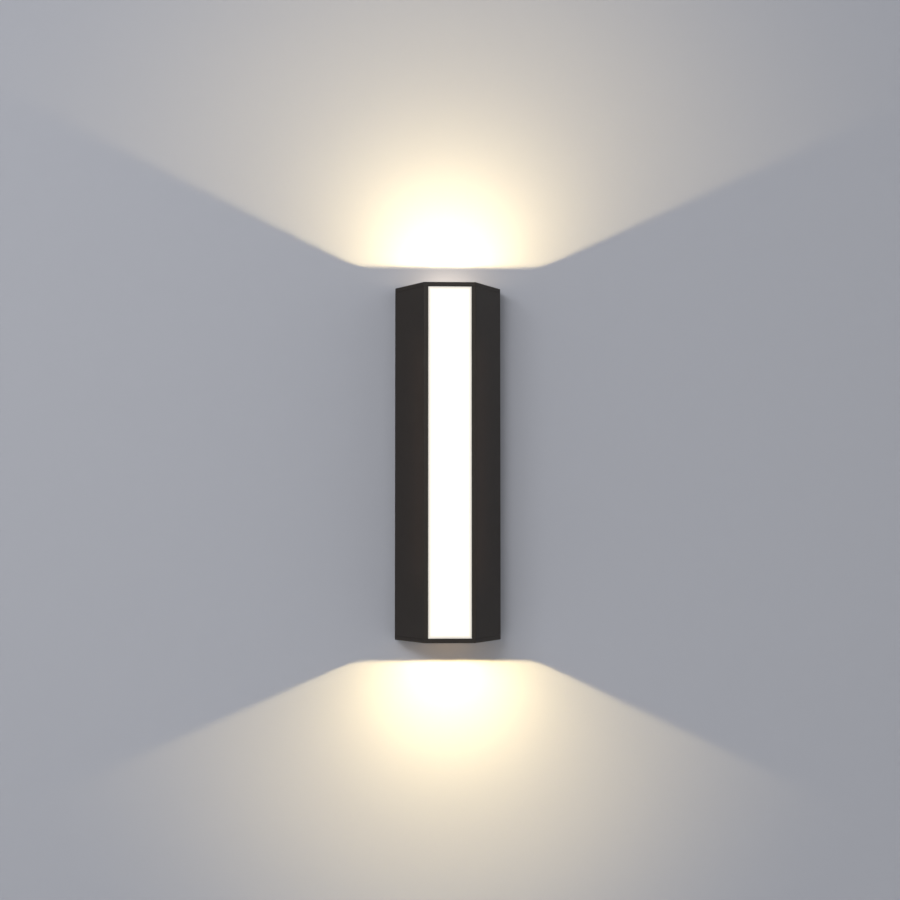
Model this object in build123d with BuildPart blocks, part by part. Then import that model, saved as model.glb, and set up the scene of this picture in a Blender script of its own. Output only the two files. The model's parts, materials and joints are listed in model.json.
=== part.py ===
from build123d import *
from math import cos, radians, sin, tan
import os

# An outdoor wall light: a half-hexagon aluminium body with a lit strip down its front and a light well at
# each end. The origin is on the wall, midway between the bracket's two screw slots. +Z is up, the wall is
# y = 0 and the front faces -Y, so every depth here is a distance from the wall along -Y. Sizes are in mm.

# Body outline, a half hexagon in plan
body_height = 250.0
body_width = 75.0
front_width = 36.0
side_depth = 16.0
facet_angle = radians(60.0)
edge_radius = 0.8

# Clearances
slide_gap = 0.2  # pieces that slide into the extrusion
hole_gap = 0.05  # shanks and wires in their holes
pull_gap = 0.7  # bracket to the housing that goes over it
tip_gap = 0.1  # fixing screw's tip to the bracket's tab
cup_gap = 0.4  # light well to the web

# Wall gasket
gasket_thickness = 1.5
gasket_inset = 0.3
drain_width = 12.0

# Housing, an aluminium extrusion
wall = 2.0
foot_width = 3.4
foot_thickness = 1.5
web_depth = 12.0
web_thickness = 2.0
port_radius = 2.8
port_overlap = 0.9
rail_thickness = 1.2
rail_reach = 3.2

# Front strip
lip_thickness = 2.0
lip_hold = 1.65
diffuser_thickness = 2.0
diffuser_recess = 0.3
diffuser_leg = 2.0
flange_thickness = 1.9
seal_thickness = 0.4

# LED carrier and the front LED board
carrier_thickness = 2.0
front_board_width = 20.0
front_board_thickness = 1.6
front_board_margin = 2.5
front_led_count = 40
front_led_width = 2.8
front_led_length = 3.5
front_led_thickness = 0.7
front_led_margin = 3.0
small_screw_radius = 1.25
small_head_radius = 2.2
small_head_height = 1.4
small_screw_edge = 2.8
recess_reach = 1.3
recess_width = 0.5
recess_depth = 0.8

# End caps
cap_flange = 3.0
cap_rim = 0.55
cap_gasket_thickness = 0.5
rim_radius = 0.5
joint_chamfer = 0.25
cap_screw_radius = 1.45
cap_screw_length = 12.0
cap_head_radius = 2.9
cap_head_gap = 0.1
hex_socket_radius = 1.1
hex_socket_depth = 1.0

# Light wells in the caps
cup_clearance = 11.9
cup_wall = 1.6
window_depth = 5.0
window_reach = 13.0
window_corner = 0.5
window_edge = 0.4
glass_thickness = 3.0
glass_gap = 0.5
glass_seal_thickness = 0.5
ledge_width = 2.2
ledge_thickness = 1.5
end_board_thickness = 2.0
led_margin = 0.8
led_base_thickness = 1.0
led_dome_margin = 1.2
led_dome_thickness = 0.3
boss_radius = 2.5
boss_overlap = 1.7
boss_height = 8.0
boss_screw_reach = 5.0

# Wall bracket, bent steel sheet
bracket_sheet = 2.0
bracket_width = 40.0
bracket_corner = 4.0
bend_radius = 0.8
tab_height = 40.0
tab_clearance = 0.8
slot_spacing = 140.0
slot_length = 15.0
slot_width = 5.0
slot_margin = 12.5
cable_hole_radius = 10.0

# Fixing screws
fixing_screw_radius = 1.95
fixing_hole_gap = 0.15
fixing_socket_radius = 1.15
fixing_socket_depth = 1.8
fixing_point = 0.5

# LED driver
driver_width = 30.0
driver_length = 70.0
driver_thickness = 14.0
driver_corner = 2.5
driver_ear_width = 12.0
driver_ear_length = 8.0
driver_ear_thickness = 2.0

# Terminal block with three poles
pole_pitch = 7.5
pole_width = 6.4
terminal_height = 16.0
terminal_thickness = 9.0
terminal_base = 3.0
terminal_rise = 28.0
terminal_side = 1.1
terminal_ear = 7.0
terminal_round = 1.2
clamp_floor = 1.8
clamp_radius = 2.2
clamp_bore = 1.4
clamp_length = 12.0
clamp_screw_radius = 1.2
clamp_screw_head = 1.5
clamp_screw_spacing = 7.6
clamp_screw_sink = 0.8

# Earth point and the grommet in the web
earth_x = 20.0
earth_rise = 62.0
earth_screw_radius = 1.95
earth_head_radius = 3.8
earth_head_height = 2.4
earth_head_round = 0.8
lug_radius = 4.2
lug_thickness = 0.8
lug_barrel_length = 7.0
lug_barrel_radius = 1.7
lug_neck_width = 2.7
grommet_rise = 56.0
grommet_neck = 4.2
grommet_radius = 6.0
grommet_flange = 1.2

# Wires
mains_wire_radius = 1.05
mains_wire_spacing = 4.4
mains_wire_bend = 5.0
slant_bend = 4.0
led_wire_radius = 0.75
led_wire_spacing = 1.9
led_wire_bend = 5.0
front_wire_drop = 14.0
front_wire_gap = 0.75
return_drop = 9.0
return_x = 21.0
end_wire_x = 13.0
led_lead = 9.0
slack_bend = 12.0

# Depths from the wall, front to back
body_depth = side_depth + (body_width - front_width) / 2 * tan(facet_angle)
lip_rear = body_depth - lip_thickness
flange_front = lip_rear - seal_thickness
flange_rear = flange_front - flange_thickness
port_front = flange_rear - slide_gap
port_depth = port_front - port_radius
port_rear = port_depth - port_radius
carrier_front = port_rear - slide_gap
carrier_rear = carrier_front - carrier_thickness
rail_front = carrier_rear - slide_gap
web_front = web_depth + web_thickness
window_rear = web_front + cup_gap + cup_wall
window_front = window_rear + window_reach
window_middle = (window_rear + window_front) / 2
led_base = window_reach - 2 * (ledge_width + led_margin)
led_dome_radius = led_base / 2 - led_dome_margin
foot_front = gasket_thickness + foot_thickness

# Heights above the middle of the body, at the upper end
tube_height = body_height - 2 * cap_flange
tube_end = tube_height / 2
cap_top = body_height / 2
glass_top = cap_top - window_depth
glass_bottom = glass_top - glass_thickness
ledge_top = glass_bottom - glass_seal_thickness
cup_bottom = ledge_top - ledge_thickness
end_board_bottom = cup_bottom - end_board_thickness


def half_width(depth, inset=0.0):
    """Half the body's width at a depth from the wall, with its faces set in by inset."""
    facet_line = body_width / 2 * sin(facet_angle) + side_depth * cos(facet_angle) - inset
    return min(body_width / 2 - inset, (facet_line - depth * cos(facet_angle)) / sin(facet_angle))


def half_hexagon(inset, rear, front, mode=Mode.ADD):
    """The body's outline set in by inset, between two depths from the wall."""
    knee = side_depth - inset * (1 - sin(facet_angle)) / cos(facet_angle)
    depths = [rear, knee, front] if rear < knee < front else [rear, front]
    right = [(half_width(depth, inset), -depth) for depth in depths]
    left = [(-x, y) for x, y in reversed(right)]
    Polygon(*right, *left, align=None, mode=mode)


def window(offset, mode=Mode.ADD):
    """The light well's outline, made smaller by offset."""
    half_hexagon(window_inset + offset, window_rear + offset, window_front - offset, mode)


def round_outline(sketch):
    """Rounds the two front corners and the two knees of the body's outline."""
    rows = sketch.vertices().group_by(Axis.Y)
    fillet(rows[0] + rows[1], edge_radius)


def rail(side, inner, rear, front):
    """A rail that stands in from a facet, from the half width inner to the middle of the wall."""
    outer_rear = half_width(rear, wall / 2)
    outer_front = half_width(front, wall / 2)
    corners = [(inner, -rear), (outer_rear, -rear), (outer_front, -front), (inner, -front)]
    Polygon(*[(side * x, y) for x, y in corners], align=None)


def wire(points, bend, radius):
    """A round wire along straight runs joined by arcs."""
    with BuildLine() as route:
        FilletPolyline(*[(x, -depth, z) for x, depth, z in points], radius=bend)
    with BuildSketch(Plane(origin=route.line @ 0, z_dir=route.line % 0)) as section:
        Circle(radius)
    sweep(sections=section.sketch, path=route.line)


def pan_screws(seat, spots, out, shank):
    """Pan-head screws on a seat plane: out is 1 or -1 for heads before or behind it."""
    with BuildSketch(seat) as heads:
        with Locations(*spots):
            Circle(small_head_radius)
    extrude(heads.sketch, amount=out * small_head_height)
    with BuildSketch(seat) as shanks:
        with Locations(*spots):
            Circle(small_screw_radius)
    extrude(shanks.sketch, amount=-out * shank)
    with BuildSketch(seat.offset(out * small_head_height)) as recesses:
        with Locations(*spots):
            Rectangle(2 * recess_reach, recess_width)
            Rectangle(recess_width, 2 * recess_reach)
    extrude(recesses.sketch, amount=-out * recess_depth, mode=Mode.SUBTRACT)


def save(piece, name):
    piece.part.label = name
    export_step(piece.part, f"parts/{name}.step")


os.makedirs("parts", exist_ok=True)

# Screw ports of the extrusion, two at the front and two beside the web
port_inset = wall + port_radius - port_overlap
front_port_x = half_width(port_depth, port_inset)
rear_port_x = body_width / 2 - port_inset
rear_port_depth = web_depth - port_radius + port_overlap
port_spots = [
    (side * x, -depth)
    for x, depth in ((front_port_x, port_depth), (rear_port_x, rear_port_depth))
    for side in (1, -1)
]
slot_half = half_width(lip_rear, wall) - lip_hold
cup_inset = wall + cup_clearance
window_inset = cup_inset + cup_wall

# Bracket tabs stand inside the housing's feet, behind the rear screw ports
tab_outer = body_width / 2 - foot_width - pull_gap
tab_depth = rear_port_depth - port_radius - tab_clearance
fixing_depth = (bracket_sheet + tab_depth) / 2
fixing_length = body_width / 2 - tab_outer - tip_gap

# Places on the web's rear face, as (x, height)
terminal_spot = (0, terminal_rise)
terminal_half = pole_pitch + pole_width / 2 + terminal_side
terminal_screw_spots = [(side * (terminal_half + terminal_ear / 2), terminal_rise) for side in (1, -1)]
earth_spot = (earth_x, earth_rise)
grommet_spot = (0, grommet_rise)
wire_depth = web_depth - clamp_floor - clamp_radius

# Screw places on the LED boards
front_board_length = tube_height - 2 * front_board_margin
front_screw_x = front_board_width / 2 - small_screw_edge
front_screw_rise = front_board_length / 2 - 2 * small_screw_edge
front_screw_spots = [
    (side * front_screw_x, row * front_screw_rise)
    for side in (1, -1)
    for row in (1, 0, -1)
]
boss_inset = cup_inset - boss_radius + boss_overlap
boss_spots = [(side * half_width(window_middle, boss_inset), -window_middle) for side in (1, -1)]
driver_screw_spots = [(0, end * (driver_length + driver_ear_length) / 2) for end in (1, -1)]
front_wire_rise = -driver_length / 2 - front_wire_drop


# Wall bracket: a strip with two screw slots, a cable hole and two tabs bent forward
with BuildPart() as wall_bracket:
    with BuildSketch(Plane.XZ) as strip:
        Rectangle(bracket_width, slot_spacing + slot_length + 2 * slot_margin)
        Rectangle(2 * tab_outer, tab_height)
        fillet(strip.vertices().filter_by(lambda v: abs(v.Y) > tab_height), bracket_corner)
        with Locations((0, slot_spacing / 2), (0, -slot_spacing / 2)):
            SlotOverall(slot_length, slot_width, rotation=90, mode=Mode.SUBTRACT)
        Circle(cable_hole_radius, mode=Mode.SUBTRACT)
    extrude(amount=bracket_sheet)
    with BuildSketch(Plane.XZ):
        with GridLocations(2 * tab_outer - bracket_sheet, 0, 2, 1):
            Rectangle(bracket_sheet, tab_height)
    extrude(amount=tab_depth)
    for x, y, radius in ((tab_outer, 0, bend_radius + bracket_sheet),
                         (tab_outer - bracket_sheet, -bracket_sheet, bend_radius)):
        bends = [Vector(side * x, y, 0) for side in (1, -1)]
        upright = wall_bracket.edges().filter_by(Axis.Z)
        fillet(upright.filter_by(lambda e: e.center() in bends), radius)
save(wall_bracket, "wall_bracket")

# Wall gasket: a foam frame with a drain gap at the bottom
with BuildPart() as wall_gasket:
    with BuildSketch(Plane.XZ):
        Rectangle(body_width - 2 * gasket_inset, body_height - 2 * gasket_inset)
        Rectangle(body_width - 2 * foot_width, tube_height, mode=Mode.SUBTRACT)
        with Locations((0, -tube_end)):
            Rectangle(drain_width, 2 * cap_flange, mode=Mode.SUBTRACT)
    extrude(amount=gasket_thickness)
save(wall_gasket, "wall_gasket")

# Housing: a half-hexagon tube with a web, feet, a front slot, rails and screw ports
with BuildPart() as housing:
    with BuildSketch(Plane.XY.offset(-tube_end)) as section:
        half_hexagon(0, gasket_thickness, body_depth)
        round_outline(section)
        half_hexagon(foot_width, gasket_thickness, foot_front, Mode.SUBTRACT)
        half_hexagon(wall, foot_front, web_depth, Mode.SUBTRACT)
        half_hexagon(wall, web_front, lip_rear, Mode.SUBTRACT)
        with Locations((0, -body_depth)):
            Rectangle(2 * slot_half, 2 * lip_thickness, mode=Mode.SUBTRACT)
        for side in (1, -1):
            rail(side, front_port_x - port_radius / 2, port_front - rail_thickness, port_front)
            rail(side, front_port_x - port_radius / 2, port_rear, port_rear + rail_thickness)
            rail(side, half_width(rail_front, wall) - rail_reach, rail_front - rail_thickness, rail_front)
        with Locations(*port_spots):
            Circle(port_radius)
        with Locations(*port_spots):
            Circle(cap_screw_radius + hole_gap, mode=Mode.SUBTRACT)
    extrude(amount=tube_height)
    with BuildSketch(Plane.YZ.offset(-body_width / 2)):
        with Locations((-fixing_depth, 0)):
            Circle(fixing_screw_radius + fixing_hole_gap)
    extrude(amount=body_width, mode=Mode.SUBTRACT)
    with BuildSketch(Plane.XZ.offset(web_depth)):
        with Locations(grommet_spot):
            Circle(grommet_neck + hole_gap)
        with Locations(*terminal_screw_spots):
            Circle(small_screw_radius + hole_gap)
        with Locations(earth_spot):
            Circle(earth_screw_radius + hole_gap)
    extrude(amount=web_thickness, mode=Mode.SUBTRACT)
save(housing, "housing")

# Front diffuser: an opal strip with a flange that slides behind the lips
with BuildPart() as front_diffuser:
    with BuildSketch(Plane.XY.offset(-tube_end + slide_gap)):
        half_hexagon(wall + slide_gap, flange_rear, flange_front)
        with Locations((0, -(flange_front + body_depth - diffuser_recess) / 2)):
            Rectangle(2 * (slot_half - slide_gap), body_depth - diffuser_recess - flange_front)
        pocket_front = body_depth - diffuser_recess - diffuser_thickness
        with Locations((0, -(flange_rear + pocket_front) / 2)):
            Rectangle(2 * (slot_half - diffuser_leg), pocket_front - flange_rear, mode=Mode.SUBTRACT)
    extrude(amount=tube_height - 2 * slide_gap)
save(front_diffuser, "front_diffuser")

# Diffuser seals: a silicone strip behind each lip
with BuildPart() as diffuser_seals:
    with BuildSketch(Plane.XY.offset(-tube_end)):
        seal_outer = half_width(lip_rear, wall) - slide_gap
        with GridLocations(slot_half + seal_outer, 0, 2, 1):
            with Locations((0, -(flange_front + lip_rear) / 2)):
                Rectangle(seal_outer - slot_half, seal_thickness)
    extrude(amount=tube_height)
save(diffuser_seals, "diffuser_seals")

# LED carrier: an aluminium plate in the rails, front LED board before it and the driver behind
with BuildPart() as led_carrier:
    with BuildSketch(Plane.XZ.offset(carrier_rear)):
        Rectangle(2 * (half_width(carrier_front, wall) - 2 * slide_gap), tube_height - 2 * slide_gap)
        with Locations(*front_screw_spots, *driver_screw_spots):
            Circle(small_screw_radius + hole_gap, mode=Mode.SUBTRACT)
        with Locations((0, front_wire_rise)):
            wire_slot = 2 * (led_wire_radius + front_wire_gap)
            SlotOverall(led_wire_spacing + wire_slot, wire_slot, mode=Mode.SUBTRACT)
    extrude(amount=carrier_thickness)
save(led_carrier, "led_carrier")

with BuildPart() as front_led_board:
    with BuildSketch(Plane.XZ.offset(carrier_front)):
        RectangleRounded(front_board_width, front_board_length, small_screw_edge / 2)
        with Locations(*front_screw_spots):
            Circle(small_screw_radius + hole_gap, mode=Mode.SUBTRACT)
    extrude(amount=front_board_thickness)
save(front_led_board, "front_led_board")

with BuildPart() as front_leds:
    led_pitch = (front_board_length - 2 * front_led_margin - front_led_length) / (front_led_count - 1)
    with BuildSketch(Plane.XZ.offset(carrier_front + front_board_thickness)):
        with GridLocations(0, led_pitch, 1, front_led_count):
            Rectangle(front_led_width, front_led_length)
    extrude(amount=front_led_thickness)
save(front_leds, "front_leds")

with BuildPart() as front_board_screws:
    front_board_face = Plane.XZ.offset(carrier_front + front_board_thickness)
    pan_screws(front_board_face, front_screw_spots, 1, front_board_thickness + carrier_thickness)
save(front_board_screws, "front_board_screws")

# End cap: a flange over the tube's end with a light well hung from it
with BuildPart() as cap:
    with BuildSketch(Plane.XY.offset(tube_end)) as plate:
        half_hexagon(0, gasket_thickness, body_depth)
        round_outline(plate)
    extrude(amount=cap_flange)
    fillet(cap.edges().group_by(Axis.Z)[-1], rim_radius)
    chamfer(cap.edges().group_by(Axis.Z)[0], joint_chamfer)
    with BuildSketch(Plane.XY.offset(tube_end)):
        half_hexagon(cap_rim, gasket_thickness + cap_rim, body_depth - cap_rim)
    extrude(amount=cap_gasket_thickness, mode=Mode.SUBTRACT)
    with BuildSketch(Plane.XY.offset(cup_bottom)) as cup:
        window(-cup_wall)
        fillet(cup.vertices(), window_corner + cup_wall)
    extrude(amount=cap_top - rim_radius - cup_bottom)
    with BuildSketch(Plane.XY.offset(cup_bottom)):
        with Locations(*boss_spots):
            Circle(boss_radius)
    extrude(amount=boss_height)
    with BuildSketch(Plane.XY.offset(ledge_top)) as well:
        window(0)
        fillet(well.vertices(), window_corner)
    extrude(amount=cap_top - ledge_top, mode=Mode.SUBTRACT)
    fillet(cap.faces().sort_by(Axis.Z)[-1].inner_wires()[0].edges(), window_edge)
    with BuildSketch(Plane.XY.offset(cup_bottom)):
        window(ledge_width)
    extrude(amount=ledge_thickness, mode=Mode.SUBTRACT)
    with BuildSketch(Plane.XY.offset(cup_bottom)):
        with Locations(*boss_spots):
            Circle(small_screw_radius + hole_gap)
    extrude(amount=boss_screw_reach + hole_gap, mode=Mode.SUBTRACT)
    with Locations(*[(x, y, cap_top) for x, y in port_spots]):
        CounterSinkHole(cap_screw_radius + 2 * hole_gap, cap_head_radius + cap_head_gap, depth=cap_flange,
                        counter_sink_angle=90)

# Cap gasket: a thin silicone sheet on the tube's walls and web
with BuildPart() as cap_gasket:
    with BuildSketch(Plane.XY.offset(tube_end)):
        edge = cap_rim + hole_gap
        half_hexagon(edge, gasket_thickness + edge, body_depth - edge)
        half_hexagon(wall, 0, lip_rear, Mode.SUBTRACT)
        half_hexagon(wall, web_depth, web_front)
    extrude(amount=cap_gasket_thickness)

# Cap screws: countersunk, with a hexagon socket
with BuildPart() as cap_screws:
    cone_height = cap_head_radius - cap_screw_radius
    with Locations(*[(x, y, cap_top - cone_height / 2 - cap_head_gap) for x, y in port_spots]):
        Cone(cap_screw_radius, cap_head_radius, cone_height)
    with BuildSketch(Plane.XY.offset(cap_top - cone_height - cap_head_gap)):
        with Locations(*port_spots):
            Circle(cap_screw_radius)
    extrude(amount=cone_height - cap_screw_length)
    with BuildSketch(Plane.XY.offset(cap_top - cap_head_gap)):
        with Locations(*port_spots):
            RegularPolygon(hex_socket_radius, 6)
    extrude(amount=-hex_socket_depth, mode=Mode.SUBTRACT)

# Well glass and the silicone seal that it is bedded in
with BuildPart() as glass:
    with BuildSketch(Plane.XY.offset(glass_bottom)) as pane:
        window(glass_gap)
        fillet(pane.vertices(), window_corner)
    extrude(amount=glass_thickness)

with BuildPart() as glass_seal:
    with BuildSketch(Plane.XY.offset(ledge_top)) as bed:
        window(hole_gap)
        fillet(bed.vertices(), window_corner)
    extrude(amount=glass_top - ledge_top)
    with BuildSketch(Plane.XY.offset(glass_bottom)) as pane_room:
        window(glass_gap - hole_gap)
        fillet(pane_room.vertices(), window_corner)
    extrude(amount=glass_thickness, mode=Mode.SUBTRACT)
    with BuildSketch(Plane.XY.offset(ledge_top)):
        window(ledge_width)
    extrude(amount=glass_seal_thickness, mode=Mode.SUBTRACT)

# LED board that closes the well from below, its LED and screws
with BuildPart() as led_board:
    with BuildSketch(Plane.XY.offset(end_board_bottom)) as board:
        window(-cup_wall)
        fillet(board.vertices(), window_corner + cup_wall)
        with Locations(*boss_spots):
            Circle(boss_radius)
        with Locations(*boss_spots):
            Circle(small_screw_radius + hole_gap, mode=Mode.SUBTRACT)
    extrude(amount=end_board_thickness)

with BuildPart() as led:
    with BuildSketch(Plane.XY.offset(cup_bottom)):
        with Locations((0, -window_middle)):
            Rectangle(led_base, led_base)
    extrude(amount=led_base_thickness)
    with BuildSketch(Plane.XY.offset(cup_bottom + led_base_thickness)):
        with Locations((0, -window_middle)):
            Circle(led_dome_radius)
    extrude(amount=led_dome_thickness)

with BuildPart() as board_screws:
    pan_screws(Plane.XY.offset(end_board_bottom), boss_spots, -1, end_board_thickness + boss_screw_reach)

# The lower end is the upper end turned over
end_pieces = {
    "cap": cap,
    "cap_gasket": cap_gasket,
    "cap_screws": cap_screws,
    "glass": glass,
    "glass_seal": glass_seal,
    "led_board": led_board,
    "led": led,
    "board_screws": board_screws,
}
for name, upper in end_pieces.items():
    save(upper, f"top_{name}")
    with BuildPart() as lower:
        mirror(upper.part, about=Plane.XY)
    save(lower, f"bottom_{name}")

# LED driver: a potted case on the back of the carrier, with an ear at each end
with BuildPart() as led_driver:
    with BuildSketch(Plane.XZ.offset(carrier_rear)):
        RectangleRounded(driver_width, driver_length, driver_corner)
    extrude(amount=-driver_thickness)
    fillet(led_driver.faces().sort_by(Axis.Y)[-1].edges(), driver_corner / 2)
    with BuildSketch(Plane.XZ.offset(carrier_rear)):
        RectangleRounded(driver_ear_width, driver_length + 2 * driver_ear_length, driver_corner)
        with Locations(*driver_screw_spots):
            Circle(small_screw_radius + hole_gap, mode=Mode.SUBTRACT)
    extrude(amount=-driver_ear_thickness)
save(led_driver, "led_driver")

with BuildPart() as driver_screws:
    ear_face = Plane.XZ.offset(carrier_rear - driver_ear_thickness)
    pan_screws(ear_face, driver_screw_spots, -1, driver_ear_thickness + carrier_thickness)
save(driver_screws, "driver_screws")

# Terminal block: a plastic body with three poles, on the web's rear face
clamp_spots = [(pole * pole_pitch, terminal_rise) for pole in (-1, 0, 1)]
clamp_screw_spots = [(x, z + end * clamp_screw_spacing / 2) for x, z in clamp_spots for end in (1, -1)]
terminal_rear = web_depth - terminal_thickness
with BuildPart() as terminal_block:
    with BuildSketch(Plane.XZ.offset(web_depth)):
        with Locations(*clamp_spots):
            Rectangle(pole_width, terminal_height)
    extrude(amount=-terminal_thickness)
    fillet(terminal_block.faces().group_by(Axis.Y)[-1].edges(), terminal_round)
    with BuildSketch(Plane.XZ.offset(web_depth)):
        with Locations(terminal_spot):
            RectangleRounded(2 * (terminal_half + terminal_ear), terminal_height / 2, terminal_round)
            Rectangle(2 * terminal_half, terminal_height)
        with Locations(*terminal_screw_spots):
            Circle(small_screw_radius + hole_gap, mode=Mode.SUBTRACT)
    extrude(amount=-terminal_base)
    with BuildSketch(Plane.XY.offset(terminal_rise - terminal_height / 2)):
        with Locations(*[(x, -wire_depth) for x, z in clamp_spots]):
            Circle(clamp_radius + hole_gap)
    extrude(amount=terminal_height, mode=Mode.SUBTRACT)
    with BuildSketch(Plane.XZ.offset(terminal_rear)):
        with Locations(*clamp_screw_spots):
            Circle(clamp_screw_head + hole_gap)
    extrude(amount=wire_depth - terminal_rear, mode=Mode.SUBTRACT)
save(terminal_block, "terminal_block")

with BuildPart() as terminal_clamps:
    with BuildSketch(Plane.XY.offset(terminal_rise - clamp_length / 2)):
        with Locations(*[(x, -wire_depth) for x, z in clamp_spots]):
            Circle(clamp_radius)
            Circle(clamp_bore, mode=Mode.SUBTRACT)
    extrude(amount=clamp_length)
    with BuildSketch(Plane.XZ.offset(terminal_rear)):
        with Locations(*clamp_screw_spots):
            Circle(clamp_screw_radius + hole_gap)
    extrude(amount=wire_depth - terminal_rear, mode=Mode.SUBTRACT)
save(terminal_clamps, "terminal_clamps")

with BuildPart() as terminal_screws:
    head_inner = wire_depth - clamp_radius - hole_gap
    with BuildSketch(Plane.XZ.offset(terminal_rear + clamp_screw_sink)):
        with Locations(*clamp_screw_spots):
            Circle(clamp_screw_head)
    extrude(amount=head_inner - terminal_rear - clamp_screw_sink)
    with BuildSketch(Plane.XZ.offset(head_inner)):
        with Locations(*clamp_screw_spots):
            Circle(clamp_screw_radius)
    extrude(amount=clamp_radius - clamp_bore)
    with BuildSketch(Plane.XZ.offset(terminal_rear + clamp_screw_sink)):
        with Locations(*clamp_screw_spots):
            Rectangle(2 * clamp_screw_head, recess_width)
    extrude(amount=recess_depth, mode=Mode.SUBTRACT)
save(terminal_screws, "terminal_screws")

with BuildPart() as terminal_mount_screws:
    ear_rear = Plane.XZ.offset(web_depth - terminal_base)
    pan_screws(ear_rear, terminal_screw_spots, -1, terminal_base + web_thickness)
save(terminal_mount_screws, "terminal_mount_screws")

# Earth point: a ring lug under a screw in the web
barrel_depth = web_depth - lug_barrel_radius
barrel_top = earth_rise - lug_radius
with BuildPart() as earth_lug:
    with BuildSketch(Plane.XZ.offset(web_depth)):
        with Locations(earth_spot):
            Circle(lug_radius)
            Circle(earth_screw_radius + hole_gap, mode=Mode.SUBTRACT)
    extrude(amount=-lug_thickness)
    with BuildSketch(Plane.XY.offset(barrel_top)):
        with Locations((earth_x, -barrel_depth)):
            Circle(lug_barrel_radius)
    extrude(amount=-lug_barrel_length)
    with BuildSketch(Plane.XZ.offset(web_depth)):
        with Locations((earth_x, barrel_top)):
            Rectangle(lug_neck_width, lug_radius)
    extrude(amount=-lug_thickness)
    with BuildSketch(Plane.XY.offset(barrel_top - lug_barrel_length)):
        with Locations((earth_x, -barrel_depth)):
            Circle(mains_wire_radius + hole_gap)
    extrude(amount=lug_barrel_length, mode=Mode.SUBTRACT)
save(earth_lug, "earth_lug")

with BuildPart() as earth_screw:
    with BuildSketch(Plane.XZ.offset(web_depth - lug_thickness)):
        with Locations(earth_spot):
            Circle(earth_head_radius)
    extrude(amount=-earth_head_height)
    fillet(earth_screw.faces().sort_by(Axis.Y)[-1].edges(), earth_head_round)
    with BuildSketch(Plane.XZ.offset(web_depth - lug_thickness)):
        with Locations(earth_spot):
            Circle(earth_screw_radius)
    extrude(amount=lug_thickness + web_thickness)
    with BuildSketch(Plane.XZ.offset(web_depth - lug_thickness - earth_head_height)):
        with Locations(earth_spot):
            Rectangle(2 * earth_screw_radius, 2 * recess_width)
            Rectangle(2 * recess_width, 2 * earth_screw_radius)
    extrude(amount=recess_depth, mode=Mode.SUBTRACT)
save(earth_screw, "earth_screw")

# Rubber grommet where the mains wires pass the web
wire_spots = [(side * mains_wire_spacing / 2, grommet_rise) for side in (-1, 1)]
with BuildPart() as web_grommet:
    with BuildSketch(Plane.XZ.offset(web_depth - grommet_flange)):
        with Locations(grommet_spot):
            Circle(grommet_radius)
    extrude(amount=grommet_flange)
    with BuildSketch(Plane.XZ.offset(web_front)):
        with Locations(grommet_spot):
            Circle(grommet_radius)
    extrude(amount=grommet_flange)
    with BuildSketch(Plane.XZ.offset(web_depth)):
        with Locations(grommet_spot):
            Circle(grommet_neck)
    extrude(amount=web_thickness)
    with BuildSketch(Plane.XZ.offset(web_depth - grommet_flange)):
        with Locations(*wire_spots):
            Circle(mains_wire_radius + hole_gap)
    extrude(amount=web_thickness + 2 * grommet_flange, mode=Mode.SUBTRACT)
save(web_grommet, "web_grommet")

# Mains wires: from the terminal block up, through the grommet and down into the driver
block_top = terminal_rise + terminal_height / 2
wire_start = terminal_rise + clamp_length / 2 - mains_wire_radius
driver_middle = carrier_rear - driver_thickness / 2
mains_lead = mains_wire_bend + 2 * mains_wire_radius
wire_back = web_depth - grommet_flange - mains_wire_bend - mains_wire_radius
for name, pole, (wire_x, wire_rise) in zip(("live_wire", "neutral_wire"), clamp_spots, wire_spots):
    with BuildPart() as mains_wire:
        wire(
            [
                (pole[0], wire_depth, wire_start),
                (pole[0], wire_depth, block_top + mains_wire_radius),
                (wire_x, wire_back, wire_rise - mains_lead),
                (wire_x, wire_back, wire_rise),
                (wire_x, driver_middle, wire_rise),
                (wire_x, driver_middle, driver_length / 2),
            ],
            [slant_bend, slant_bend, mains_wire_bend, mains_wire_bend],
            mains_wire_radius,
        )
    save(mains_wire, name)

# Earth wire: from the third pole to the lug's barrel
lug_mouth = barrel_top - lug_barrel_length
with BuildPart() as earth_wire:
    wire(
        [
            (pole_pitch, wire_depth, wire_start),
            (pole_pitch, wire_depth, block_top + mains_wire_radius),
            (earth_x, barrel_depth, lug_mouth - mains_wire_radius),
            (earth_x, barrel_depth, lug_mouth + lug_barrel_length / 2),
        ],
        slant_bend,
        mains_wire_radius,
    )
save(earth_wire, "earth_wire")

# LED wires leave the driver's lower end in pairs: left to the lower board, middle to the front board,
# and right, back up beside the driver, to the upper board
driver_bottom = -driver_length / 2
pair = (-led_wire_spacing / 2, led_wire_spacing / 2)
with BuildPart() as bottom_led_wires:
    for shift in pair:
        wire(
            [
                (shift - driver_width / 4, driver_middle, driver_bottom),
                (shift - driver_width / 4, driver_middle, driver_bottom - led_lead),
                (shift - end_wire_x, window_middle, -end_board_bottom + led_lead),
                (shift - end_wire_x, window_middle, -end_board_bottom),
            ],
            slack_bend,
            led_wire_radius,
        )
save(bottom_led_wires, "bottom_led_wires")

with BuildPart() as front_led_wires:
    for shift in pair:
        wire(
            [
                (shift, driver_middle, driver_bottom),
                (shift, driver_middle, front_wire_rise),
                (shift, carrier_front, front_wire_rise),
            ],
            led_wire_bend,
            led_wire_radius,
        )
save(front_led_wires, "front_led_wires")

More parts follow.
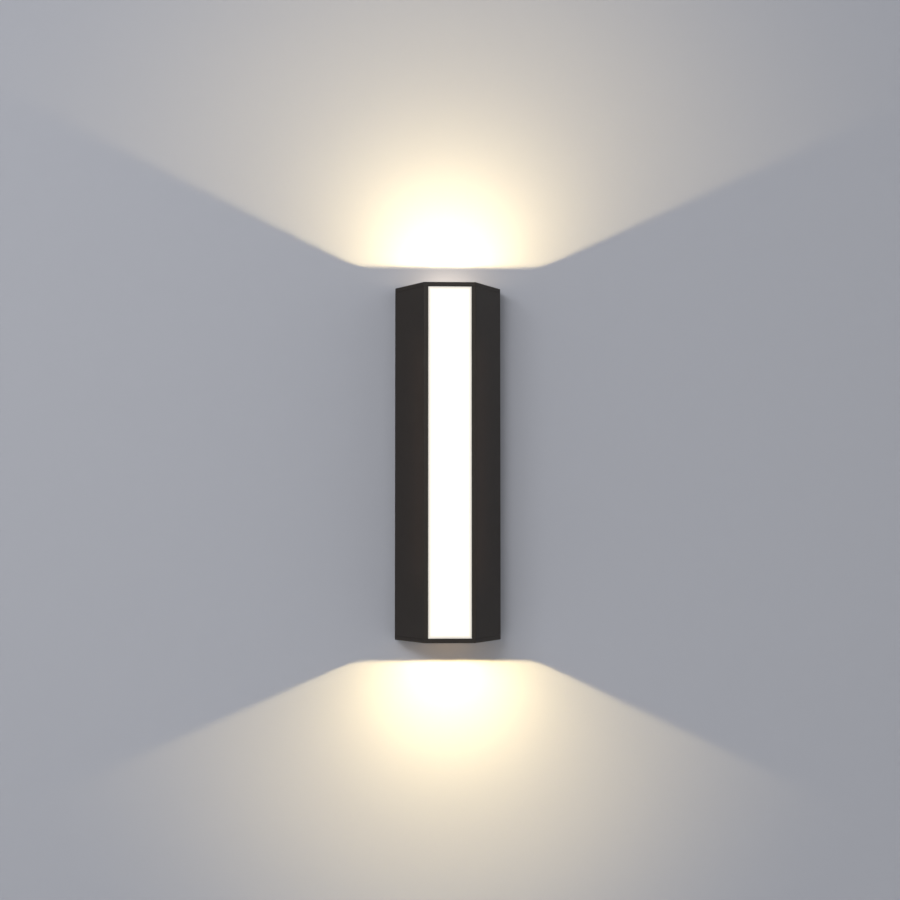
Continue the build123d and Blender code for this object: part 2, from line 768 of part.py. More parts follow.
with BuildPart() as top_led_wires:
    for shift in pair:
        wire(
            [
                (driver_width / 4 - shift, driver_middle, driver_bottom),
                (driver_width / 4 - shift, driver_middle, driver_bottom - return_drop - shift),
                (return_x + shift, driver_middle, driver_bottom - return_drop - shift),
                (return_x + shift, driver_middle, driver_length / 2),
                (end_wire_x + shift, window_middle, end_board_bottom - led_lead),
                (end_wire_x + shift, window_middle, end_board_bottom),
            ],
            [led_wire_bend, led_wire_bend, slack_bend, slack_bend],
            led_wire_radius,
        )
save(top_led_wires, "top_led_wires")

# Fixing screws: set screws in the side walls, with their tips on the bracket's tabs
for name, side in (("left_fixing_screw", -1), ("right_fixing_screw", 1)):
    with BuildPart() as fixing_screw:
        mouth = (side * body_width / 2, -fixing_depth, 0)
        outside = Plane(origin=mouth, x_dir=(0, 1, 0), z_dir=(side, 0, 0))
        with BuildSketch(outside):
            Circle(fixing_screw_radius)
        extrude(amount=-fixing_length)
        tip = fixing_screw.faces().sort_by(Axis((0, 0, 0), (side, 0, 0)))[0]
        chamfer(tip.edges(), fixing_point)
        with BuildSketch(outside):
            RegularPolygon(fixing_socket_radius, 6)
        extrude(amount=-fixing_socket_depth, mode=Mode.SUBTRACT)
    save(fixing_screw, name)
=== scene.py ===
import bpy
import bmesh
import json
from math import cos, pi, sin
from mathutils import Matrix, Vector


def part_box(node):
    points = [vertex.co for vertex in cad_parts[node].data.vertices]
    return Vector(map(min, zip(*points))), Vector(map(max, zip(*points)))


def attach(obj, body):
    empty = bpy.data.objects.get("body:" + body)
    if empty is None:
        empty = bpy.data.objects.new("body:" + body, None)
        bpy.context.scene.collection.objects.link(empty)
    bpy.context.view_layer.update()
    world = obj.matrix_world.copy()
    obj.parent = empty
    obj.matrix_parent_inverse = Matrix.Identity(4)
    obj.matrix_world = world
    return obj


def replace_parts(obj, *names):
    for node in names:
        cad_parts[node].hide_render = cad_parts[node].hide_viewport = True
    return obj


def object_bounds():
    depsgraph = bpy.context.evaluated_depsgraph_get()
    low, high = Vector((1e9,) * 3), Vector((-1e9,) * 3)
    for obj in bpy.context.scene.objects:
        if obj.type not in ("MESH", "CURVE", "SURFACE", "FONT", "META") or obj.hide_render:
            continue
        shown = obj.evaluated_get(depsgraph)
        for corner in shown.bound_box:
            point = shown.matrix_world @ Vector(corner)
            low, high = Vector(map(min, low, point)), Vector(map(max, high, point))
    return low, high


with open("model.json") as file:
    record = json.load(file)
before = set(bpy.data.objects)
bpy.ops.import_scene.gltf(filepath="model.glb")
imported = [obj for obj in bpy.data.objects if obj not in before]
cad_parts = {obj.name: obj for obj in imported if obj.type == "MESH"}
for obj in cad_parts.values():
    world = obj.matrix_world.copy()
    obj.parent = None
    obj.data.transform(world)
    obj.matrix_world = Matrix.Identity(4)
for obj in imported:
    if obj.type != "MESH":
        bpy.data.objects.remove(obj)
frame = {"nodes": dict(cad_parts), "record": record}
cadBox = [list(corner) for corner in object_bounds()]
print("frame loaded:", len(frame["nodes"]), "nodes")

scene = bpy.context.scene
scene.view_settings.view_transform = "Standard"


# small helpers for shader trees
noiseDetail = {"soft": 2.0, "fine": 3.0, "sharp": 4.0}


def addNode(tree, kind, **inputs):
    node = tree.nodes.new(kind)
    for name, value in inputs.items():
        node.inputs[name.replace("_", " ")].default_value = value
    return node


def newFinish(name, colour, roughness=0.5, metallic=0.0):
    finish = bpy.data.materials.new(name)
    finish.use_nodes = True
    shader = finish.node_tree.nodes["Principled BSDF"]
    shader.inputs["Base Color"].default_value = (*colour, 1.0)
    shader.inputs["Roughness"].default_value = roughness
    shader.inputs["Metallic"].default_value = metallic
    return finish, finish.node_tree, shader


def objectPlace(tree):
    return addNode(tree, "ShaderNodeTexCoord").outputs["Object"]


def objectAxes(tree):
    apart = addNode(tree, "ShaderNodeSeparateXYZ")
    tree.links.new(objectPlace(tree), apart.inputs["Vector"])
    return apart.outputs


def noiseOn(tree, scale, detail="soft", stretch=(1.0, 1.0, 1.0)):
    mapping = addNode(tree, "ShaderNodeMapping", Scale=stretch)
    noise = addNode(tree, "ShaderNodeTexNoise", Scale=scale, Detail=noiseDetail[detail])
    tree.links.new(objectPlace(tree), mapping.inputs["Vector"])
    tree.links.new(mapping.outputs["Vector"], noise.inputs["Vector"])
    return noise.outputs["Fac"]


def ramp(tree, source, stops):
    colours = addNode(tree, "ShaderNodeValToRGB")
    band = colours.color_ramp
    while len(band.elements) < len(stops):
        band.elements.new(0.5)
    for element, (place, colour) in zip(band.elements, stops):
        element.position = place
        element.color = (*colour, 1.0)
    tree.links.new(source, colours.inputs["Fac"])
    return colours.outputs["Color"]


def remap(tree, source, ends, results=(0.0, 1.0), smooth=False):
    reach = addNode(tree, "ShaderNodeMapRange", From_Min=ends[0], From_Max=ends[1],
                    To_Min=results[0], To_Max=results[1])
    if smooth:
        reach.interpolation_type = "SMOOTHSTEP"
    tree.links.new(source, reach.inputs["Value"])
    return reach.outputs["Result"]


# each source is another node's output or a plain number
def mathOn(tree, operation, *sources, clamp=False):
    step = tree.nodes.new("ShaderNodeMath")
    step.operation = operation
    step.use_clamp = clamp
    for socket, source in zip(step.inputs, sources):
        if isinstance(source, float):
            socket.default_value = source
        else:
            tree.links.new(source, socket)
    return step.outputs["Value"]


def mixShaders(tree, factor, first, second, output):
    choose = tree.nodes.new("ShaderNodeMixShader")
    tree.links.new(factor, choose.inputs["Fac"])
    tree.links.new(first.outputs[0], choose.inputs[1])
    tree.links.new(second.outputs[0], choose.inputs[2])
    tree.links.new(choose.outputs["Shader"], tree.nodes[output].inputs["Surface"])


# rays by which something is seen: straight, mirrored or through glass
def seenRays(tree):
    path = addNode(tree, "ShaderNodeLightPath")
    seen = path.outputs["Is Camera Ray"]
    for kind in ("Is Glossy Ray", "Is Transmission Ray"):
        seen = mathOn(tree, "MAXIMUM", seen, path.outputs[kind])
    return seen


def shade(colour, factor):
    return tuple(channel * factor for channel in colour)


# the colour wanders between two tones of itself
def mottle(tree, shader, source, look, span=(0.3, 0.7)):
    stops = [(place, shade(look["colour"], tone)) for place, tone in zip(span, look["tones"])]
    tree.links.new(ramp(tree, source, stops), shader.inputs["Base Color"])


# the surface wanders between glossier and rougher
def varyGloss(tree, shader, source, roughnesses):
    tree.links.new(remap(tree, source, (0.0, 1.0), roughnesses), shader.inputs["Roughness"])


def addBump(tree, shader, height, strength, depth):
    bump = addNode(tree, "ShaderNodeBump", Strength=strength, Distance=depth)
    tree.links.new(height, bump.inputs["Height"])
    tree.links.new(bump.outputs["Normal"], shader.inputs["Normal"])


# powder coat: fine orange peel, a little uneven in gloss; its colour is the coat's near-black plus a warm
# brown tint that is painted light, standing in for the lit strip's warm glow
coat = {"colour": (0.0168, 0.013, 0.0105), "tones": (0.95, 1.06), "patches": 160.0, "gloss": (0.46, 0.58),
        "shine": 0.22, "peel": 1500.0, "bump": 0.35, "depth": 0.00012}


def powderCoat():
    finish, tree, shader = newFinish("powder coat", coat["colour"])
    peel = noiseOn(tree, coat["peel"], "fine")
    mottle(tree, shader, noiseOn(tree, coat["patches"]), coat)
    varyGloss(tree, shader, peel, coat["gloss"])
    shader.inputs["Specular IOR Level"].default_value = coat["shine"]
    addBump(tree, shader, peel, coat["bump"], coat["depth"])
    return finish


# opal acrylic: satin, lit from behind, dimmer along its edges, where the frame keeps the LEDs' light off it
opal = {"colour": (0.62, 0.61, 0.585), "tones": (0.97, 1.0), "span": (0.35, 0.65), "haze": 240.0,
        "gloss": (0.3, 0.42), "halfWidth": 0.0152, "halfHeight": 0.122, "edgeWidth": 0.0034, "strength": 0.8,
        "glow": [(0.0, (0.07, 0.06, 0.045)), (0.45, (0.56, 0.48, 0.37)), (1.0, (1.0, 0.96, 0.9))]}


def opalAcrylic():
    finish, tree, shader = newFinish("opal acrylic", opal["colour"])
    haze = noiseOn(tree, opal["haze"])
    mottle(tree, shader, haze, opal, opal["span"])
    varyGloss(tree, shader, haze, opal["gloss"])
    axes = objectAxes(tree)
    inner = []
    for axis, reach in (("X", opal["halfWidth"]), ("Z", opal["halfHeight"])):
        away = mathOn(tree, "ABSOLUTE", axes[axis])
        inner.append(remap(tree, away, (reach, reach - opal["edgeWidth"])))
    fromEdge = mathOn(tree, "MINIMUM", *inner)
    tree.links.new(ramp(tree, fromEdge, opal["glow"]), shader.inputs["Emission Color"])
    shader.inputs["Emission Strength"].default_value = opal["strength"]
    return finish


# toughened glass, faintly smeared
glass = {"tint": (0.93, 0.97, 0.955), "ior": 1.5, "smear": 70.0, "gloss": (0.0, 0.035)}


def clearGlass():
    finish, tree, shader = newFinish("clear glass", glass["tint"])
    shader.inputs["Transmission Weight"].default_value = 1.0
    shader.inputs["IOR"].default_value = glass["ior"]
    varyGloss(tree, shader, noiseOn(tree, glass["smear"]), glass["gloss"])
    return finish


# soft and moulded finishes: clouds in the colour, grain in the surface
moulded = {"tones": (0.9, 1.08), "glossReach": 0.07, "depth": 0.0001}
silicone = {"colour": (0.035, 0.035, 0.037), "roughness": 0.45, "grain": 900.0, "clouds": 120.0, "bump": 0.2}
nylon = {"colour": (0.74, 0.735, 0.71), "roughness": 0.5, "grain": 1600.0, "clouds": 60.0, "bump": 0.25}
brownPvc = {"colour": (0.13, 0.05, 0.022), "roughness": 0.38, "grain": 700.0, "clouds": 90.0, "bump": 0.15}
bluePvc = {"colour": (0.02, 0.11, 0.4), "roughness": 0.38, "grain": 700.0, "clouds": 90.0, "bump": 0.15}


def mouldedFinish(name, piece):
    look = {**moulded, **piece}
    finish, tree, shader = newFinish(name, look["colour"])
    grain = noiseOn(tree, look["grain"], "fine")
    mottle(tree, shader, noiseOn(tree, look["clouds"]), look)
    reach = look["glossReach"]
    varyGloss(tree, shader, grain, (look["roughness"] - reach, look["roughness"] + reach))
    addBump(tree, shader, grain, look["bump"], look["depth"])
    return finish


# closed-cell rubber foam
foam = {"colour": (0.018, 0.018, 0.019), "tones": (0.5, 1.5), "span": (0.1, 0.6), "roughness": 0.88,
        "cell": 1100.0, "bump": 0.7, "depth": 0.0003}


def foamRubber():
    finish, tree, shader = newFinish("closed-cell rubber", foam["colour"], foam["roughness"])
    cells = addNode(tree, "ShaderNodeTexVoronoi", Scale=foam["cell"])
    tree.links.new(objectPlace(tree), cells.inputs["Vector"])
    mottle(tree, shader, cells.outputs["Distance"], foam, foam["span"])
    addBump(tree, shader, cells.outputs["Distance"], foam["bump"], foam["depth"])
    return finish


# metals: clouds in the plating, and streaks along the way the piece was rolled or drawn
alongZ = (1.0, 1.0, 0.03)
evenly = (1.0, 1.0, 1.0)
metal = {"tones": (0.82, 1.1), "glossReach": 0.1, "depth": 0.00006}
millAluminium = {"colour": (0.6, 0.61, 0.62), "roughness": 0.4, "metallic": 1.0,
                 "grain": 2600.0, "stretch": alongZ, "clouds": 50.0, "bump": 0.25}
zincPlate = {"colour": (0.64, 0.655, 0.67), "roughness": 0.38, "metallic": 1.0,
             "grain": 1400.0, "stretch": alongZ, "clouds": 110.0, "bump": 0.2}
blackOxide = {"colour": (0.022, 0.022, 0.024), "roughness": 0.36, "metallic": 0.7,
              "grain": 2200.0, "stretch": evenly, "clouds": 400.0, "bump": 0.15}
plainBrass = {"colour": (0.72, 0.5, 0.2), "roughness": 0.3, "metallic": 1.0,
              "grain": 1800.0, "stretch": evenly, "clouds": 300.0, "bump": 0.15}
tinPlate = {"colour": (0.66, 0.65, 0.62), "roughness": 0.3, "metallic": 1.0,
            "grain": 1800.0, "stretch": evenly, "clouds": 260.0, "bump": 0.15}


def metalFinish(name, piece):
    look = {**metal, **piece}
    finish, tree, shader = newFinish(name, look["colour"], look["roughness"], look["metallic"])
    streaks = noiseOn(tree, look["grain"], "sharp", look["stretch"])
    mottle(tree, shader, noiseOn(tree, look["clouds"], "fine"), look)
    reach = look["glossReach"]
    varyGloss(tree, shader, streaks, (look["roughness"] - reach, look["roughness"] + reach))
    addBump(tree, shader, streaks, look["bump"], look["depth"])
    return finish


# metal-core board: white solder mask with the copper under it just showing
board = {"colour": (0.8, 0.8, 0.77), "tones": (0.94, 1.0), "clouds": 140.0, "roughness": 0.34,
         "traces": 190.0, "traceGap": 0.035, "bump": 0.25, "depth": 0.00008}


def whiteBoard():
    finish, tree, shader = newFinish("white solder mask", board["colour"], board["roughness"])
    traces = addNode(tree, "ShaderNodeTexBrick", Scale=board["traces"], Mortar_Size=board["traceGap"])
    tree.links.new(objectPlace(tree), traces.inputs["Vector"])
    mottle(tree, shader, noiseOn(tree, board["clouds"]), board)
    addBump(tree, shader, traces.outputs["Fac"], board["bump"], board["depth"])
    return finish


# phosphor under clear resin, lit
phosphor = {"colour": (0.9, 0.68, 0.2), "tones": (0.86, 1.0), "roughness": 0.25, "grains": 2200.0,
            "glow": (1.0, 0.8, 0.48), "strength": 2.4, "bump": 0.2, "depth": 0.00005}


def litPhosphor():
    finish, tree, shader = newFinish("lit phosphor", phosphor["colour"], phosphor["roughness"])
    grains = noiseOn(tree, phosphor["grains"], "fine")
    mottle(tree, shader, grains, phosphor)
    shader.inputs["Emission Color"].default_value = (*phosphor["glow"], 1.0)
    shader.inputs["Emission Strength"].default_value = phosphor["strength"]
    addBump(tree, shader, grains, phosphor["bump"], phosphor["depth"])
    return finish


# insulation in two colours: the earth wire is green with a yellow stripe down one side,
# and of each pair of LED wires the left one is black and the right one red
insulation = {"grain": 700.0, "gloss": (0.3, 0.45)}
earthPvc = {"colour": (0.05, 0.22, 0.03), "stripe": (0.72, 0.55, 0.02), "stripeSide": (-0.6, 0.8, 0.0),
            "stripeEdge": 0.8, "stripeBlur": 0.03}
pair = {"red": (0.36, 0.012, 0.01), "black": (0.012, 0.012, 0.013), "halfSplit": 0.0001, "span": (0.45, 0.55)}


def stripedPvc():
    finish, tree, shader = newFinish("green and yellow insulation", earthPvc["colour"])
    facing = addNode(tree, "ShaderNodeNewGeometry")
    side = tree.nodes.new("ShaderNodeVectorMath")
    side.operation = "DOT_PRODUCT"
    side.inputs[1].default_value = earthPvc["stripeSide"]
    tree.links.new(facing.outputs["Normal"], side.inputs[0])
    edge, blur = earthPvc["stripeEdge"], earthPvc["stripeBlur"]
    stops = [(edge - blur, earthPvc["colour"]), (edge + blur, earthPvc["stripe"])]
    tree.links.new(ramp(tree, side.outputs["Value"], stops), shader.inputs["Base Color"])
    varyGloss(tree, shader, noiseOn(tree, insulation["grain"]), insulation["gloss"])
    return finish


def pairedPvc():
    finish, tree, shader = newFinish("red and black insulation", pair["red"])
    across = remap(tree, objectAxes(tree)["X"], (-pair["halfSplit"], pair["halfSplit"]))
    stops = list(zip(pair["span"], (pair["black"], pair["red"])))
    tree.links.new(ramp(tree, across, stops), shader.inputs["Base Color"])
    varyGloss(tree, shader, noiseOn(tree, insulation["grain"]), insulation["gloss"])
    return finish


finishes = {
    "black_coat": powderCoat(),
    "opal": opalAcrylic(),
    "clear_glass": clearGlass(),
    "silicone": mouldedFinish("dark silicone", silicone),
    "foam_rubber": foamRubber(),
    "bare_aluminium": metalFinish("mill aluminium", millAluminium),
    "white_board": whiteBoard(),
    "phosphor": litPhosphor(),
    "zinc_steel": metalFinish("zinc plate", zincPlate),
    "black_steel": metalFinish("black oxide", blackOxide),
    "brass": metalFinish("plain brass", plainBrass),
    "tinned_copper": metalFinish("tin plate", tinPlate),
    "white_plastic": mouldedFinish("white nylon", nylon),
    "brown_pvc": mouldedFinish("brown insulation", brownPvc),
    "blue_pvc": mouldedFinish("blue insulation", bluePvc),
    "green_yellow_pvc": stripedPvc(),
    "red_black_pvc": pairedPvc(),
}
for subpart in frame["record"]["subparts"]:
    for slot in frame["nodes"][subpart["node"]].material_slots:
        slot.material = finishes[subpart["material_slot"]]


# new pieces: doubles within the weld distance are merged, and edges past the sharp angle stay sharp
making = {"weld": 0.000002, "sharpAngle": 0.6}


def makePiece(name, shape, place, body, slot):
    bmesh.ops.remove_doubles(shape, verts=shape.verts, dist=making["weld"])
    bmesh.ops.recalc_face_normals(shape, faces=shape.faces)
    bmesh.ops.transform(shape, matrix=place, verts=shape.verts)
    mesh = bpy.data.meshes.new(name)
    shape.to_mesh(mesh)
    shape.free()
    mesh.shade_smooth()
    mesh.set_sharp_from_angle(angle=making["sharpAngle"])
    mesh.materials.append(finishes[slot])
    piece = bpy.data.objects.new(name, mesh)
    scene.collection.objects.link(piece)
    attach(piece, body)
    return piece


def drawLine(shape, points, closed=False):
    corners = [shape.verts.new((across, 0.0, height)) for across, height in points]
    nextOnes = corners[1:] + corners[:1] if closed else corners[1:]
    return corners + [shape.edges.new(ends) for ends in zip(corners, nextOnes)]


def turnLine(shape, points, steps, closed=False):
    line = drawLine(shape, points, closed)
    bmesh.ops.spin(shape, geom=line, axis=(0, 0, 1), cent=(0, 0, 0), angle=2 * pi, steps=steps,
                   use_merge=True)


def roundEdges(shape, edges, radius, segments):
    bmesh.ops.bevel(shape, geom=edges, offset=radius, affect="EDGES", segments=segments, profile=0.5,
                    material=-1)


def onlyKind(parts, kind):
    return [part for part in parts if isinstance(part, kind)]


# end LEDs: a white ceramic base with a dam ring, and a crowned pool of phosphor inside the ring
endLed = {"baseHeight": 0.001, "corner": 0.0006, "cornerSteps": 4, "edge": 0.00012, "edgeSteps": 2,
          "poolShare": 0.3, "damWidth": 0.0004, "damHeight": 0.0002, "damFoot": 0.00005,
          "damEdgeAcross": 0.0001, "damEdgeDown": 0.00008, "crown": 0.0003, "steps": 48,
          "crownLine": [(0.0, 0.0), (1.0, 0.0), (1.0, 0.35), (0.85, 0.62), (0.6, 0.85), (0.3, 0.97),
                        (0.0, 1.0)]}


def ledBase(width, pool, top):
    base = bmesh.new()
    bmesh.ops.create_cube(base, size=1.0)
    bmesh.ops.translate(base, vec=(0, 0, 0.5), verts=base.verts)
    bmesh.ops.scale(base, vec=(width, width, top), verts=base.verts)
    upright = [edge for edge in base.edges if abs(edge.verts[0].co.z - edge.verts[1].co.z) > top / 2]
    roundEdges(base, upright, endLed["corner"], endLed["cornerSteps"])
    rim = [edge for edge in base.edges if all(corner.co.z > top / 2 for corner in edge.verts)]
    roundEdges(base, rim, endLed["edge"], endLed["edgeSteps"])
    ring = pool + endLed["damWidth"]
    damTop = top + endLed["damHeight"]
    damFoot = top - endLed["damFoot"]
    across, down = endLed["damEdgeAcross"], endLed["damEdgeDown"]
    turnLine(base, [(pool, damFoot), (pool, damTop - down), (pool + across, damTop), (ring - across, damTop),
                    (ring, damTop - down), (ring, damFoot)], endLed["steps"], closed=True)
    return base


def endLeds(end, up):
    low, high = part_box(f"{end}_led")
    width = high[0] - low[0]
    pool = width * endLed["poolShare"]
    top = endLed["baseHeight"]
    foot = Vector(((low[0] + high[0]) / 2, (low[1] + high[1]) / 2, low[2] if up > 0 else high[2]))
    place = Matrix.Translation(foot) @ Matrix.Rotation(0.0 if up > 0 else pi, 4, "X")
    makePiece(f"{end}LedBase", ledBase(width, pool, top), place, "lamp", "white_board")
    chip = bmesh.new()
    crownLine = [(pool * across, top + endLed["crown"] * rise) for across, rise in endLed["crownLine"]]
    turnLine(chip, crownLine, endLed["steps"])
    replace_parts(makePiece(f"{end}LedPhosphor", chip, place, "lamp", "phosphor"), f"{end}_led")


# fixing screws: a threaded shank with a hexagon socket and a flat point, drawn with the mouth at the origin
fixing = {"pitch": 0.0007, "thread": 0.00036, "socket": 0.00115, "socketDepth": 0.0018, "flats": 6,
          "point": 0.0005, "lead": 0.0003, "turns": 4, "steps": 24,
          "ridgeFoot": 0.44, "ridgeTop": 0.06, "ridgeSink": 0.00005}


def socketShank(length, core):
    point, lead, steps = fixing["point"], fixing["lead"], fixing["steps"]
    shape = bmesh.new()
    turnLine(shape, [(0.0, -length), (core - point, -length), (core, point - length), (core, -lead),
                     (core - lead, 0.0)], steps)
    bmesh.ops.remove_doubles(shape, verts=shape.verts, dist=making["weld"])
    mouthRing = [edge for edge in shape.edges if edge.is_boundary]
    hexagon = bmesh.ops.create_circle(shape, radius=fixing["socket"], segments=fixing["flats"])["verts"]
    sides = list({edge for corner in hexagon for edge in corner.link_edges})
    bmesh.ops.subdivide_edges(shape, edges=sides, cuts=steps // fixing["flats"] - 1)
    sides = [edge for edge in shape.edges if edge.is_wire]
    bmesh.ops.bridge_loops(shape, edges=mouthRing + sides)
    sunk = bmesh.ops.extrude_edge_only(shape, edges=sides)["geom"]
    floorCorners = onlyKind(sunk, bmesh.types.BMVert)
    bmesh.ops.translate(shape, vec=(0, 0, -fixing["socketDepth"]), verts=floorCorners)
    bmesh.ops.contextual_create(shape, geom=onlyKind(sunk, bmesh.types.BMEdge))
    return shape


# a ridge wound round the shank from just above its point
def windThread(shape, length, core, radius):
    pitch, steps, turns = fixing["pitch"], fixing["steps"], fixing["turns"]
    middle = fixing["point"] + pitch / 2 - length
    foot, top = pitch * fixing["ridgeFoot"], pitch * fixing["ridgeTop"]
    inside = core - fixing["ridgeSink"]
    ridge = drawLine(shape, [(inside, middle - foot), (radius, middle - top), (radius, middle + top),
                             (inside, middle + foot)], closed=True)
    wound = bmesh.ops.spin(shape, geom=ridge, axis=(0, 0, 1), cent=(0, 0, 0), dvec=(0, 0, pitch / steps),
                           angle=2 * pi * turns, steps=steps * turns)
    for end in (ridge, wound["geom_last"]):
        bmesh.ops.contextual_create(shape, geom=onlyKind(end, bmesh.types.BMVert))


def fixingScrew(side, handle):
    low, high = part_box(f"{handle}_fixing_screw")
    length = high[0] - low[0]
    radius = (high[2] - low[2]) / 2
    core = radius - fixing["thread"]
    shape = socketShank(length, core)
    windThread(shape, length, core, radius)
    mouth = Vector((high[0] if side > 0 else low[0], (low[1] + high[1]) / 2, (low[2] + high[2]) / 2))
    place = Matrix.Translation(mouth) @ Matrix.Rotation(side * pi / 2, 4, "Y")
    piece = makePiece(f"{handle}FixingScrew", shape, place, f"{handle}_screw", "black_steel")
    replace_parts(piece, f"{handle}_fixing_screw")


endLeds("top", 1)
endLeds("bottom", -1)
fixingScrew(-1, "left")
fixingScrew(1, "right")
print("LEDs and fixing screws modelled")


# painted wall behind the light, and a pale floor below it
wall = {"colour": (0.375, 0.386, 0.43), "roughness": 0.9, "shine": 0.1, "roller": 420.0, "bump": 0.06,
        "depth": 0.0004, "reach": 3.0, "top": 3.0, "gap": 0.0001, "touch": 0.0025}
floor = {"colour": (0.76, 0.76, 0.75), "roughness": 0.8, "height": -0.4, "reach": 15.0}


def flatSheet(name, corners, finish):
    shape = bmesh.new()
    shape.faces.new([shape.verts.new(corner) for corner in corners])
    mesh = bpy.data.meshes.new(name)
    shape.to_mesh(mesh)
    shape.free()
    sheet = bpy.data.objects.new(name, mesh)
    sheet.data.materials.append(finish)
    scene.collection.objects.link(sheet)


def wallPaint():
    finish, tree, shader = newFinish("wall paint", wall["colour"], wall["roughness"])
    shader.inputs["Specular IOR Level"].default_value = wall["shine"]
    addBump(tree, shader, noiseOn(tree, wall["roller"], "fine"), wall["bump"], wall["depth"])
    # seen from in front only, and not by what touches it, so that rear views and rear light pass
    facing = addNode(tree, "ShaderNodeNewGeometry")
    path = addNode(tree, "ShaderNodeLightPath")
    apart = mathOn(tree, "GREATER_THAN", path.outputs["Ray Length"], wall["touch"])
    seen = mathOn(tree, "MULTIPLY", seenRays(tree), apart)
    fromFront = mathOn(tree, "SUBTRACT", seen, facing.outputs["Backfacing"], clamp=True)
    clear = tree.nodes.new("ShaderNodeBsdfTransparent")
    mixShaders(tree, fromFront, clear, shader, "Material Output")
    return finish


flatSheet("wall", [
    (x * wall["reach"], wall["gap"], z)
    for x, z in ((-1, floor["height"]), (1, floor["height"]), (1, wall["top"]), (-1, wall["top"]))
], wallPaint())
flatSheet("floor", [
    (x * floor["reach"], y * floor["reach"], floor["height"])
    for x, y in ((-1, -1), (1, -1), (1, 1), (-1, 1))
], newFinish("pale floor", floor["colour"], floor["roughness"])[0])
print("stage set")


# room light: an even world, soft boxes on both sides in front and one behind
room = {"colour": (1.0, 1.0, 1.0, 1.0), "world": 0.385, "backdrop": 1.0}
softBoxes = {
    "leftBox": {"place": (-0.74, -1.5, 0.62), "size": (1.2, 0.35), "watts": 15.4},
    "rightBox": {"place": (1.7, -1.1, 0.5), "size": (1.4, 1.4), "watts": 4.0},
    "rearBox": {"place": (0.6, 1.8, 0.9), "size": (1.4, 1.4), "watts": 26.0},
}


def lightWorld():
    world = bpy.data.worlds.new("room")
    world.use_nodes = True
    scene.world = world
    tree = world.node_tree
    even = tree.nodes["Background"]
    even.inputs["Color"].default_value = room["colour"]
    even.inputs["Strength"].default_value = room["world"]
    backdrop = addNode(tree, "ShaderNodeBackground", Color=room["colour"], Strength=room["backdrop"])
    mixShaders(tree, seenRays(tree), even, backdrop, "World Output")


def addLight(name, kind, place, watts, colour=(1.0, 1.0, 1.0)):
    light = bpy.data.lights.new(name, kind)
    light.energy = watts
    light.color = colour
    lamp = bpy.data.objects.new(name, light)
    lamp.location = place
    lamp.visible_camera = False
    scene.collection.objects.link(lamp)
    return lamp


def addPanel(name, place, size, watts, colour=(1.0, 1.0, 1.0)):
    panel = addLight(name, "AREA", place, watts, colour)
    panel.data.shape = "RECTANGLE"
    panel.data.size, panel.data.size_y = size
    return panel


def lookAlong(thing, direction):
    thing.rotation_euler = direction.to_track_quat("-Z", "Y").to_euler()


lightWorld()
for name, spec in softBoxes.items():
    lookAlong(addPanel(name, spec["place"], spec["size"], spec["watts"]), -Vector(spec["place"]))
print("room lit")


# the light's own beams: a small source over each LED that shines ahead and a little all round,
# and the light that the recess's front side throws back on the wall
beams = {
    "top": {"colour": (1.0, 0.777, 0.392), "ahead": 7.8, "round": 8.4, "fade": (0.2, 0.43),
            "sideways": -0.0006, "forward": 0.0, "belowRim": 0.0077},
    "bottom": {"colour": (1.0, 0.768, 0.365), "ahead": 8.2, "round": 8.4, "fade": (0.16, 0.335),
               "sideways": 0.0007, "forward": 0.0003, "belowRim": 0.0073},
}
beamSource = {"width": 0.0014, "soften": 0.002}
glares = {
    "top": {"colour": (1.0, 0.82, 0.6), "watts": 0.015},
    "bottom": {"colour": (1.0, 0.6, 0.2), "watts": 0.0036},
}
glarePatch = {"inset": 0.0008, "size": (0.023, 0.004)}


# weakens with distance more slowly than a bare lamp, and is gone at the reach's far end
def slowFade(light, reach):
    light.use_nodes = True
    tree = light.node_tree
    falloff = addNode(tree, "ShaderNodeLightFalloff", Strength=1.0, Smooth=beamSource["soften"])
    path = addNode(tree, "ShaderNodeLightPath")
    fade = remap(tree, path.outputs["Ray Length"], reach, (1.0, 0.0), smooth=True)
    strength = mathOn(tree, "MULTIPLY", falloff.outputs["Linear"], fade)
    tree.links.new(strength, tree.nodes["Emission"].inputs["Strength"])


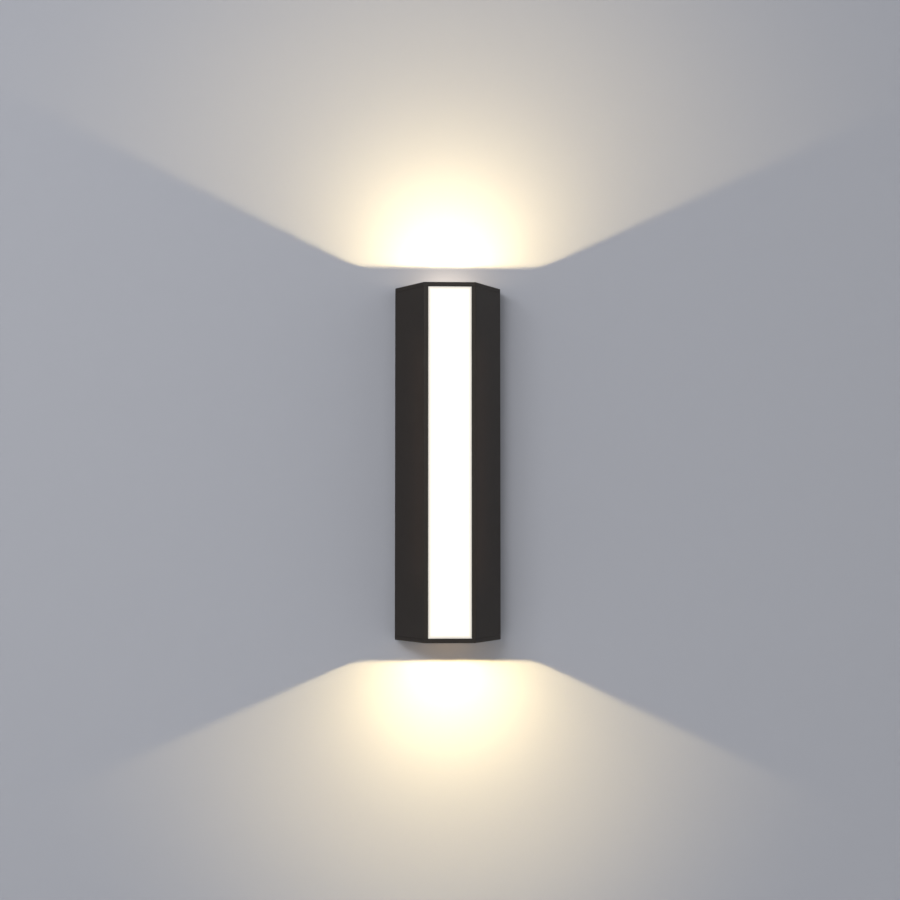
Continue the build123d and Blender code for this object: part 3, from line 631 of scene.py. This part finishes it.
for end, up in (("top", 1), ("bottom", -1)):
    frame["nodes"][f"{end}_glass"].visible_shadow = False
    low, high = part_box(f"{end}_glass")
    rim = cadBox[1][2] if up > 0 else cadBox[0][2]
    face = high[2] if up > 0 else low[2]
    shine = beams[end]
    spot = (shine["sideways"], (low[1] + high[1]) / 2 - shine["forward"], rim - up * shine["belowRim"])
    ahead = addLight(f"{end}Beam", "AREA", spot, shine["ahead"], shine["colour"])
    ahead.data.shape = "DISK"
    ahead.data.size = beamSource["width"]
    ahead.rotation_euler = (pi if up > 0 else 0.0, 0.0, 0.0)
    allRound = addLight(f"{end}Round", "POINT", spot, shine["round"], shine["colour"])
    allRound.data.shadow_soft_size = beamSource["width"] / 2
    slowFade(ahead.data, shine["fade"])
    slowFade(allRound.data, shine["fade"])
    patch = (0.0, low[1] + glarePatch["inset"], (rim + face) / 2)
    thrown = addPanel(f"{end}Glare", patch, glarePatch["size"], glares[end]["watts"], glares[end]["colour"])
    thrown.rotation_euler = (pi / 2, 0.0, 0.0)
    for light in (ahead, allRound, thrown):
        light.visible_glossy = False
        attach(light, "lamp")

# the lit strip's glow on the two faces that turn back from it
stripGlow = {"colour": (1.0, 0.64, 0.4), "watts": 6.5, "fade": (0.008, 0.03), "corner": 0.018,
             "turn": pi / 3, "off": 0.01, "along": 0.004, "size": (0.002, 0.17)}
for handle, side in (("left", -1), ("right", 1)):
    turn = stripGlow["turn"]
    outward = Vector((side * sin(turn), -cos(turn), 0.0))
    back = Vector((side * cos(turn), sin(turn), 0.0))
    corner = Vector((side * stripGlow["corner"], cadBox[0][1], 0.0))
    spot = corner + outward * stripGlow["off"] + back * stripGlow["along"]
    glow = addPanel(f"{handle}StripGlow", spot, stripGlow["size"], stripGlow["watts"], stripGlow["colour"])
    lookAlong(glow, -outward)
    glow.visible_glossy = False
    slowFade(glow.data, stripGlow["fade"])
    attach(glow, "lamp")
print("beams lit")


# camera a little to the left of the light and just below its middle
shot = {"place": (-0.050, -1.18, -0.039), "aim": (0.0022, 0.0, 0.0102), "lens": 65.5, "sensor": 36.0}
camera = bpy.data.objects.new("camera", bpy.data.cameras.new("camera"))
camera.data.lens = shot["lens"]
camera.data.sensor_width = shot["sensor"]
camera.location = shot["place"]
lookAlong(camera, Vector(shot["aim"]) - Vector(shot["place"]))
scene.collection.objects.link(camera)
scene.camera = camera
print("camera set")
